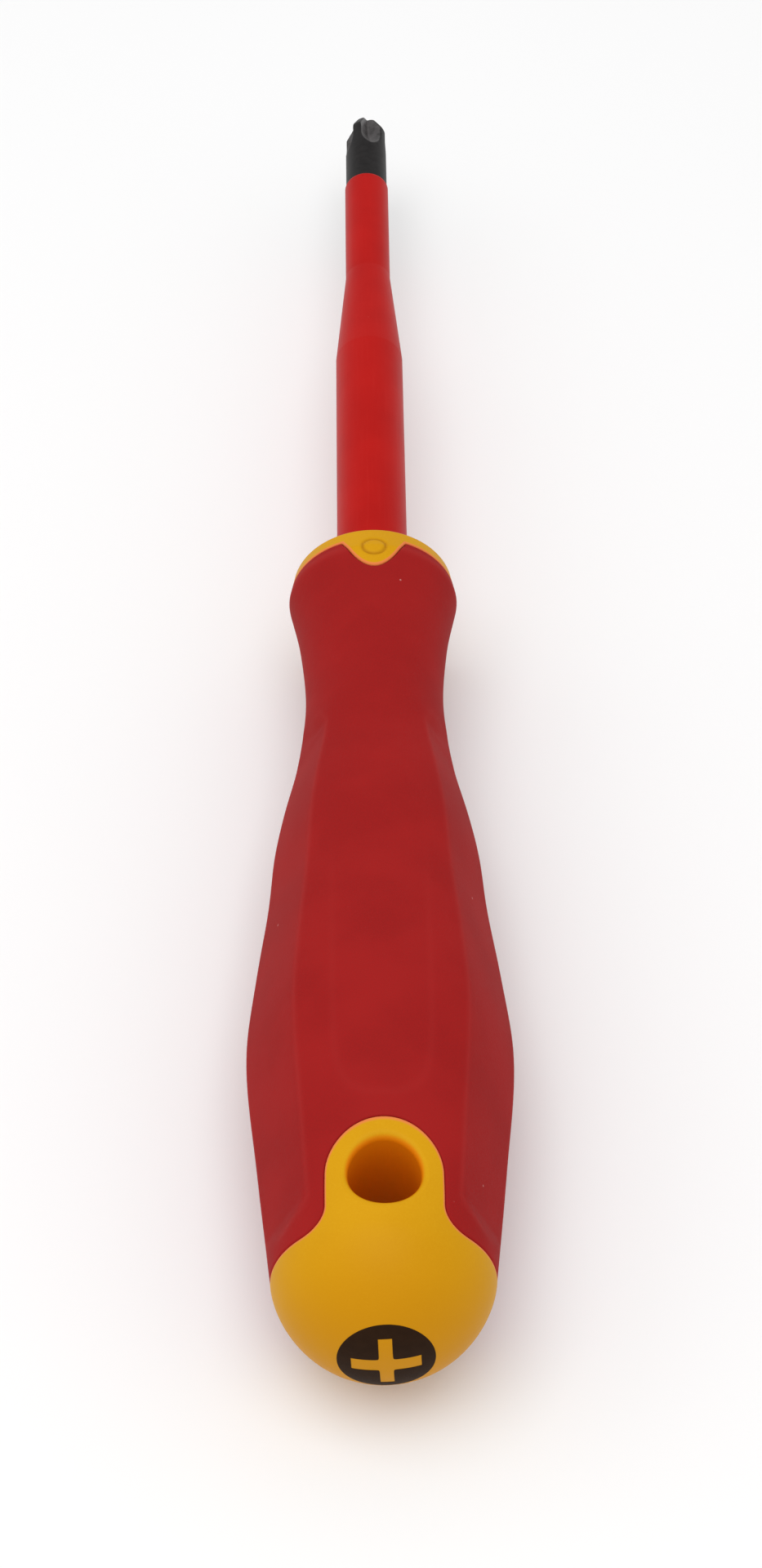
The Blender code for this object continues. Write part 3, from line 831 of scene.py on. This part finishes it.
def make_symbol(look):
    """The printed sign on the butt: a thin disc of ink with a cross left out of it."""
    upright_half, level_half = SYMBOL_ARM_HALF_WIDTHS
    corner = math.atan2(upright_half, SYMBOL_ARM_REACH)
    level_corner = math.pi / 2 - math.atan2(level_half, SYMBOL_ARM_REACH)
    corners = [k * math.pi + side * a for k in (0, 1) for side in (-1, 1) for a in (corner, level_corner)]
    even = np.linspace(0, 2 * math.pi, SYMBOL_POINTS, endpoint=False)
    psi = np.unique(np.concatenate([even, np.mod(corners, 2 * math.pi)]).round(ANGLE_DIGITS))
    side = np.maximum(np.abs(np.sin(psi)), LEAST_SINE)
    up = np.maximum(np.abs(np.cos(psi)), LEAST_SINE)
    upright = np.minimum(upright_half / side, SYMBOL_ARM_REACH / up)
    level = np.minimum(level_half / up, SYMBOL_ARM_REACH / side)
    power = SYMBOL_CORNER_POWER  # rounds the inside corners
    inner = (upright**power + level**power) ** (1 / power)
    turned = psi - SYMBOL_TURN
    rows = []
    for share, lift in [(0, -1)] + [(share, 1) for share in np.linspace(0, 1, SYMBOL_ROWS)] + [(1, -1)]:
        radius = inner + (SYMBOL_RADIUS - inner) * share
        x = radius * np.sin(turned) + SYMBOL_OFFSET
        z = radius * np.cos(turned) * SYMBOL_STRETCH
        depth = (1 - (np.hypot(x, z) / BUTT_RADIUS) ** DOME_END_POWER) ** (1 / DOME_SIDE_POWER)
        rows.append(place(x, BUTT_STATION + DOME_LENGTH * depth + lift * INK_THICKNESS, z))
    piece = grid_piece("butt_symbol", rows, look, True)
    finish_surface(piece)
    return piece


# Turned pieces, by geometry nodes


def turned_tree(name, sizes, shape):
    """A tree that bends a grid into a closed turned solid. shape gives its radius, station and any pale
    marks, both worn and painted light.
    """
    tree = bpy.data.node_groups.new(name, "GeometryNodeTree")
    tree.interface.new_socket("Geometry", in_out="OUTPUT", socket_type="NodeSocketGeometry")
    keys = {}
    for label, value in sizes.items():
        kind = "NodeSocketInt" if isinstance(value, int) else "NodeSocketFloat"
        keys[label] = tree.interface.new_socket(label, in_out="INPUT", socket_type=kind).identifier
    tree.interface.new_socket("Finish", in_out="INPUT", socket_type="NodeSocketMaterial")
    keys["Finish"] = tree.interface.items_tree[-1].identifier
    graph = Graph(tree)
    inputs = tree.nodes.new("NodeGroupInput")
    size = {label: Signal(graph, inputs.outputs[label]) for label in (*sizes, "Finish")}
    grid_values = {0: 1.0, 1: 1.0, 2: size["Sides"] + 1, 3: size["Rings"]}
    grid = graph.add("GeometryNodeMeshGrid", {}, grid_values)
    across, up = graph.x_and_y(graph.add("GeometryNodeInputPosition"))
    row = ((up + 0.5) * (size["Rings"] - 1)).math("ROUND")
    inner_rows = size["Rings"] - 3
    share = ((row - 1) / inner_rows).math("MAXIMUM", 0).math("MINIMUM", 1)
    # The first and last rows shrink to the axis and close the ends
    capped = row.math("GREATER_THAN", 0.5) * row.math("LESS_THAN", size["Rings"] - 1.5)
    turn = (across + 0.5) * (2 * math.pi)
    radius, station, wear_and_light = shape(size, share, turn)
    radius = radius * capped
    values = {0: radius * turn.math("SINE"), 1: COLLAR_Y - station}
    values[2] = AXIS_HEIGHT + radius * turn.math("COSINE")
    moved = graph.add("ShaderNodeCombineXYZ", {}, values)
    if wear_and_light is not None:
        # It is worked out on the flat grid, so it is stored before the grid is bent
        wear_values = {"Geometry": grid, "Name": "wear_and_painted_light", "Value": wear_and_light}
        grid = graph.add("GeometryNodeStoreNamedAttribute", {}, wear_values)
    bent = graph.add("GeometryNodeSetPosition", {}, {"Geometry": grid, "Position": moved})
    closed = graph.add("GeometryNodeMergeByDistance", {}, {"Geometry": bent, "Distance": MERGE_DISTANCE})
    whole = graph.add("GeometryNodeRealizeInstances", {}, {"Geometry": closed})
    shown = graph.add("GeometryNodeSetMaterial", {}, {"Geometry": whole, "Material": size["Finish"]})
    graph.add("NodeGroupOutput", {}, {"Geometry": shown})
    return tree, keys


def turned_piece(name, sizes, shape, look, sharp):
    tree, keys = turned_tree(name + "_form", sizes, shape)
    carrier = bpy.data.objects.new(name + "_carrier", bpy.data.meshes.new(name + "_carrier"))
    bpy.context.scene.collection.objects.link(carrier)
    step = carrier.modifiers.new("form", "NODES")
    step.node_group = tree
    for label, value in (*sizes.items(), ("Finish", look)):
        step[keys[label]] = value
    graph = bpy.context.evaluated_depsgraph_get()
    mesh = bpy.data.meshes.new_from_object(carrier.evaluated_get(graph))
    bpy.data.objects.remove(carrier, do_unlink=True)
    piece = bpy.data.objects.new(name, mesh)
    bpy.context.scene.collection.objects.link(piece)
    finish_surface(piece, sharp)
    return piece


def rounded_end(back, size):
    """How far a rounded end drops at a distance back from it."""
    nearness = (1 - back / size).math("MAXIMUM", 0)
    return size * (1 - (1 - nearness * nearness).math("SQRT"))


def sleeve_shape(size, share, _turn):
    """Slim, then flaring, then thick, with a rounded front edge."""
    length = size["Exposed length"] + size["Embedded length"]
    back = share * length
    station = back - size["Exposed length"]
    flare = ((back - size["Slim length"]) / size["Taper length"]).math("MAXIMUM", 0).math("MINIMUM", 1)
    radius = size["Slim radius"] + flare * (size["Thick radius"] - size["Slim radius"])
    return radius - rounded_end(back, size["Edge round"]), station, None


def make_sleeve(look):
    sizes = {
        "Exposed length": BLADE_LENGTH - TIP_EXPOSED_LENGTH,
        "Embedded length": SLEEVE_TUCKED,
        "Slim length": SLIM_LENGTH,
        "Taper length": SLEEVE_TAPER_LENGTH,
        "Slim radius": SLIM_RADIUS,
        "Thick radius": THICK_RADIUS,
        "Edge round": SLEEVE_EDGE_ROUND,
        "Sides": SLEEVE_SIDES,
        "Rings": SLEEVE_RINGS,
    }
    return turned_piece("sleeve_skin", sizes, sleeve_shape, look, sharp=50)


def blade_shape(size, share, turn):
    """A cone-ended rod with flutes scooped out of its tip, and plain steel inside the sleeve."""
    in_tip = (share / BLADE_TIP_SHARE).math("MINIMUM", 1)
    past_tip = ((share - BLADE_TIP_SHARE) / (1 - BLADE_TIP_SHARE)).math("MAXIMUM", 0)
    back = in_tip * size["Tip length"] + past_tip * size["Inner length"]
    cone = size["End radius"] + back * math.tan(TIP_HALF_ANGLE) - rounded_end(back, size["End round"])
    rod = cone.soft_min(size["Rod radius"], CONE_EDGE_POWER)
    pitch = 2 * math.pi / FLUTE_COUNT
    wound = (turn - size["Turn"] + (pitch / 2 + 2 * math.pi)).math("FLOORED_MODULO", pitch)
    off_flute = (wound - pitch / 2).math("ABSOLUTE")
    scoop = ((back - size["Flute straight"]) / size["Flute scoop"]).math("MAXIMUM", 0)
    climb = size["Rod radius"] - size["Flute root"] - size["Flute straight"] * FLUTE_ROOT_SLOPE
    curve = (climb - size["Flute scoop"] * FLUTE_ROOT_SLOPE) * scoop * scoop
    root = size["Flute root"] + back * FLUTE_ROOT_SLOPE + curve
    opening = FLUTE_OPENING_RATIO * (1 - FLUTE_NARROWING_RATIO * scoop.math("MINIMUM", 1))
    softened = ((off_flute * off_flute + FLUTE_FLOOR_SQUARE).math("SQRT") - FLUTE_FLOOR_ANGLE) * opening
    flute = root * math.sin(FLUTE_HALF_ANGLE) / (FLUTE_HALF_ANGLE - softened).math("SINE")
    fluted = rod.soft_min(flute, FLUTE_EDGE_POWER)
    outside = 1 - past_tip.math("GREATER_THAN", 0.0)
    steel = fluted * outside + (1 - outside) * size["Waist radius"]
    # Worn paler on the ridges, and painted light on the flute floors
    near_ridge = 1 - ((rod - flute).math("ABSOLUTE") / RIDGE_WEAR_WIDTH).math("MINIMUM", 1)
    in_flute = (rod - flute).ease(0, FLUTE_PAINTED_LIGHT_DEPTH) * FLUTE_PAINTED_LIGHT
    return steel, back - BLADE_LENGTH, (near_ridge * RIDGE_WEAR + in_flute) * outside


def make_blade(look):
    sizes = {
        "Tip length": TIP_EXPOSED_LENGTH + TIP_UNDER_SLEEVE,
        "Inner length": BLADE_LENGTH - TIP_EXPOSED_LENGTH + BLADE_EMBEDDED,
        "End radius": TIP_END_RADIUS,
        "End round": TIP_END_ROUND,
        "Rod radius": TIP_RADIUS,
        "Waist radius": WAIST_RADIUS,
        "Turn": TIP_TURN,
        "Flute straight": FLUTE_STRAIGHT_LENGTH,
        "Flute scoop": FLUTE_SCOOP_LENGTH,
        "Flute root": FLUTE_ROOT_RADIUS,
        "Sides": BLADE_SIDES,
        "Rings": BLADE_RINGS,
    }
    return turned_piece("blade_steel", sizes, blade_shape, look, sharp=40)


# Finishes


def finish(name, roughness, specular=0.5, metallic=0.0):
    """A new material, its graph, its Object coordinates and its shader node."""
    look = bpy.data.materials.new(name)
    look.use_nodes = True
    graph = Graph(look.node_tree)
    shader = look.node_tree.nodes["Principled BSDF"]
    shader.inputs["Roughness"].default_value = roughness
    shader.inputs["Specular IOR Level"].default_value = specular
    shader.inputs["Metallic"].default_value = metallic
    coords = graph.add("ShaderNodeTexCoord", {}, {}, "Object")
    return look, graph, coords, shader


def link(graph, shader, name, signal):
    graph.tree.links.new(signal.socket, shader.inputs[name])


def bump(graph, shader, height, distance, strength):
    values = {"Height": height, "Distance": distance, "Strength": strength}
    link(graph, shader, "Normal", graph.add("ShaderNodeBump", {}, values, "Normal"))


def dust(graph, coords, cells, size, share):
    """Mask of small specks, one in some of the cells of a scattered pattern."""
    spread = {"Vector": coords, "Scale": cells, "Randomness": 1.0}
    distance = graph.add("ShaderNodeTexVoronoi", {}, spread, "Distance")
    colour = Signal(graph, distance.socket.node.outputs["Color"])
    chance = graph.add("ShaderNodeSeparateColor", {}, {0: colour})
    inside = 1 - distance.ease(size * SPECK_CORE_RATIO, size)
    return inside * chance.math("GREATER_THAN", 1 - share)


def grip_rubber():
    """Dark red soft rubber with a fine matt grain, paler on its edges, partly worn and partly painted
    highlight, with a few specks of dust.
    """
    look, graph, coords, shader = finish("grip_rubber", roughness=0.62, specular=0.04)
    wear_and_light = graph.stored("wear_and_painted_light")
    cloud = graph.noise(coords, scale=110, detail=3)
    grain = graph.noise(coords, scale=5200, roughness=0.6)
    colour = graph.mix(cloud.ease(*CLOUD_BAND), GRIP_RED, GRIP_PALER_RED)
    colour = graph.tint(colour, GRIP_GRAIN, grain.ease(0.35, 0.7), share=0.35)
    # Pale edge lines: partly worn paler, partly painted highlight
    colour = graph.tint(colour, GRIP_EDGE_WEAR_AND_HIGHLIGHT, wear_and_light, share=0.2)
    specks = dust(graph, coords, cells=260, size=0.05, share=0.14)
    colour = graph.tint(colour, GRIP_DUST, specks, share=0.5)
    link(graph, shader, "Base Color", colour)
    link(graph, shader, "Roughness", 0.56 + grain * 0.16 - wear_and_light * 0.05)
    height = grain + graph.noise(coords, scale=1500) * 0.6
    bump(graph, shader, height, distance=0.05 * MM, strength=0.55)
    return look


def core_plastic():
    """Warm yellow hard plastic with a satin spark-eroded finish, with a painted highlight line along its
    seams and painted shade in its mould mark's groove, in its bore and towards its end.
    """
    look, graph, coords, shader = finish("core_plastic", roughness=0.4, specular=0.07)
    cloud = graph.noise(coords, scale=70, detail=3)
    grain = graph.noise(coords, scale=3800, roughness=0.55)
    colour = graph.mix(cloud.ease(*CLOUD_BAND), CORE_YELLOW, CORE_PALER_YELLOW)
    colour = graph.tint(colour, CORE_GRAIN, grain.ease(0.4, 0.75), share=0.18)
    specks = dust(graph, coords, cells=230, size=0.04, share=0.12)
    colour = graph.tint(colour, CORE_DUST, specks, share=0.35)
    # Painted highlight line along the core's rolled seam edges
    colour = graph.tint(colour, CORE_SEAM_HIGHLIGHT, graph.stored("wear_and_painted_light"), share=0.85)
    # Painted shade in the mould mark's groove
    colour = graph.tint(colour, CORE_GROOVE_SHADE, graph.stored("groove"), share=0.6)
    across, along_y = graph.x_and_y(coords)
    # Painted shade, darker and more orange towards the butt's end
    from_end = along_y - (COLLAR_Y - HANDLE_LENGTH)
    colour = graph.tint(colour, CORE_END_SHADE, 1 - from_end.ease(0, CORE_END_SHADE_REACH), share=0.8)
    # Painted shade inside the hanging hole's bore
    half_length = HOLE_RADIUS + HOLE_STRETCH / 2
    from_hole = along_y - (COLLAR_Y - HOLE_STATION - HOLE_STRETCH / 2)
    widened = across * (half_length / HOLE_RADIUS)
    away = (widened * widened + from_hole * from_hole).math("SQRT")
    bore = 1 - away.ease(half_length, half_length + BORE_SHADE_FADE)
    colour = graph.tint(colour, CORE_BORE_SHADE, bore, share=0.85)
    link(graph, shader, "Base Color", colour)
    link(graph, shader, "Roughness", 0.36 + grain * 0.14 + cloud * 0.06)
    height = grain + graph.noise(coords, scale=900) * 0.5
    bump(graph, shader, height, distance=0.03 * MM, strength=0.4)
    return look


def sleeve_plastic():
    """Bright red insulation with faint streaks along the blade."""
    look, graph, coords, shader = finish("sleeve_plastic", roughness=0.42, specular=0.08)
    drawn = graph.add("ShaderNodeMapping", {}, {"Vector": coords, "Scale": SLEEVE_STREAK_SCALE})
    streaks = graph.noise(drawn, scale=2600, detail=3, roughness=0.6)
    cloud = graph.noise(coords, scale=140, detail=3)
    grain = graph.noise(coords, scale=4200)
    colour = graph.mix(cloud.ease(*CLOUD_BAND), SLEEVE_RED, SLEEVE_PALER_RED)
    colour = graph.tint(colour, SLEEVE_STREAK, streaks.ease(0.45, 0.8), share=0.2)
    specks = dust(graph, coords, cells=300, size=0.05, share=0.1)
    colour = graph.tint(colour, SLEEVE_DUST, specks, share=0.4)
    link(graph, shader, "Base Color", colour)
    link(graph, shader, "Roughness", 0.37 + streaks * 0.12)
    bump(graph, shader, grain + streaks, distance=0.03 * MM, strength=0.35)
    return look


def blade_black():
    """Black finished steel, worn paler on the flutes' ridges, with painted light making the flute floors
    paler.
    """
    look, graph, coords, shader = finish("blade_black", roughness=0.45, specular=0.2, metallic=0.2)
    wear_and_light = graph.stored("wear_and_painted_light")
    cloud = graph.noise(coords, scale=900, detail=3)
    grain = graph.noise(coords, scale=6500, roughness=0.6)
    patchy = wear_and_light * (0.35 + cloud)
    worn_and_lit = patchy.ease(0.35, 0.95)
    colour = graph.mix(cloud.ease(*CLOUD_BAND), BLADE_BLACK, BLADE_PALER_BLACK)
    # Worn ridges, and painted light on the flute floors
    colour = graph.tint(colour, BLADE_WORN_AND_LIT, worn_and_lit, share=0.68)
    link(graph, shader, "Base Color", colour)
    link(graph, shader, "Roughness", 0.42 + grain * 0.18 - worn_and_lit * 0.12)
    bump(graph, shader, grain + cloud * 0.7, distance=0.03 * MM, strength=0.5)
    return look


def symbol_ink():
    """Thin black printing ink, a little uneven."""
    look, graph, coords, shader = finish("symbol_ink", roughness=0.5, specular=0.03)
    cloud = graph.noise(coords, scale=800, detail=3)
    grain = graph.noise(coords, scale=5000)
    link(graph, shader, "Base Color", graph.mix(cloud, INK_BLACK, INK_PALER_BLACK))
    link(graph, shader, "Roughness", 0.42 + grain * 0.2)
    bump(graph, shader, grain, distance=0.02 * MM, strength=0.3)
    return look


def studio_floor():
    """Matt white paper."""
    look, graph, coords, shader = finish("studio_floor", roughness=0.9)
    cloud = graph.noise(coords, scale=3)
    link(graph, shader, "Base Color", graph.mix(cloud, FLOOR_WHITE, FLOOR_PALER_WHITE))
    return look


# Camera and studio


def make_camera():
    """Behind and above the butt, looking along the tool at the photograph's angle."""
    data = bpy.data.cameras.new("camera")
    data.sensor_fit = "VERTICAL"
    data.sensor_height = SENSOR_HEIGHT
    data.lens = FOCAL_PIXELS * SENSOR_HEIGHT / FRAME_PIXELS
    data.clip_start = CLIP_START
    camera = bpy.data.objects.new("camera", data)
    x, y, z = CAMERA_OFFSET
    camera.location = (x, COLLAR_Y + BLADE_LENGTH + y, AXIS_HEIGHT + z)
    camera.rotation_euler = CAMERA_TURN
    bpy.context.scene.collection.objects.link(camera)
    bpy.context.scene.camera = camera


def area_light(name, location, size, power):
    """A rectangular lamp that shines on the tool."""
    data = bpy.data.lights.new(name, "AREA")
    data.shape = "RECTANGLE"
    data.size, data.size_y = size
    data.energy = power
    lamp = bpy.data.objects.new(name, data)
    bpy.context.scene.collection.objects.link(lamp)
    lamp.location = location
    lamp.rotation_euler = (-lamp.location).to_track_quat("-Z", "Y").to_euler()


def make_studio():
    half = FLOOR_HALF
    corners = [(-half, -half, 0), (half, -half, 0), (half, half, 0), (-half, half, 0)]
    floor = mesh_piece("floor", corners, [(0, 1, 2, 3)], studio_floor())
    world = bpy.data.worlds.new("studio")
    world.use_nodes = True
    sky = world.node_tree.nodes["Background"]
    sky.inputs["Color"].default_value = SKY_WHITE
    sky.inputs["Strength"].default_value = SKY_STRENGTH
    bpy.context.scene.world = world
    for softbox in SOFTBOXES:
        area_light(*softbox)
    bpy.context.scene.view_settings.view_transform = "Standard"


def main():
    make_camera()
    make_studio()
    made = [
        (make_grip(grip_rubber()), "soft_grip", "grip_rubber"),
        (make_core(core_plastic()), "handle_core", "core_plastic"),
        (make_sleeve(sleeve_plastic()), "blade_insulation", "sleeve_plastic"),
        (make_blade(blade_black()), "blade", "blade_steel"),
    ]
    for piece, node, slot in made:
        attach(piece, "root")
        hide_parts(node)
    symbol = make_symbol(symbol_ink())
    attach(symbol, "root")


main()
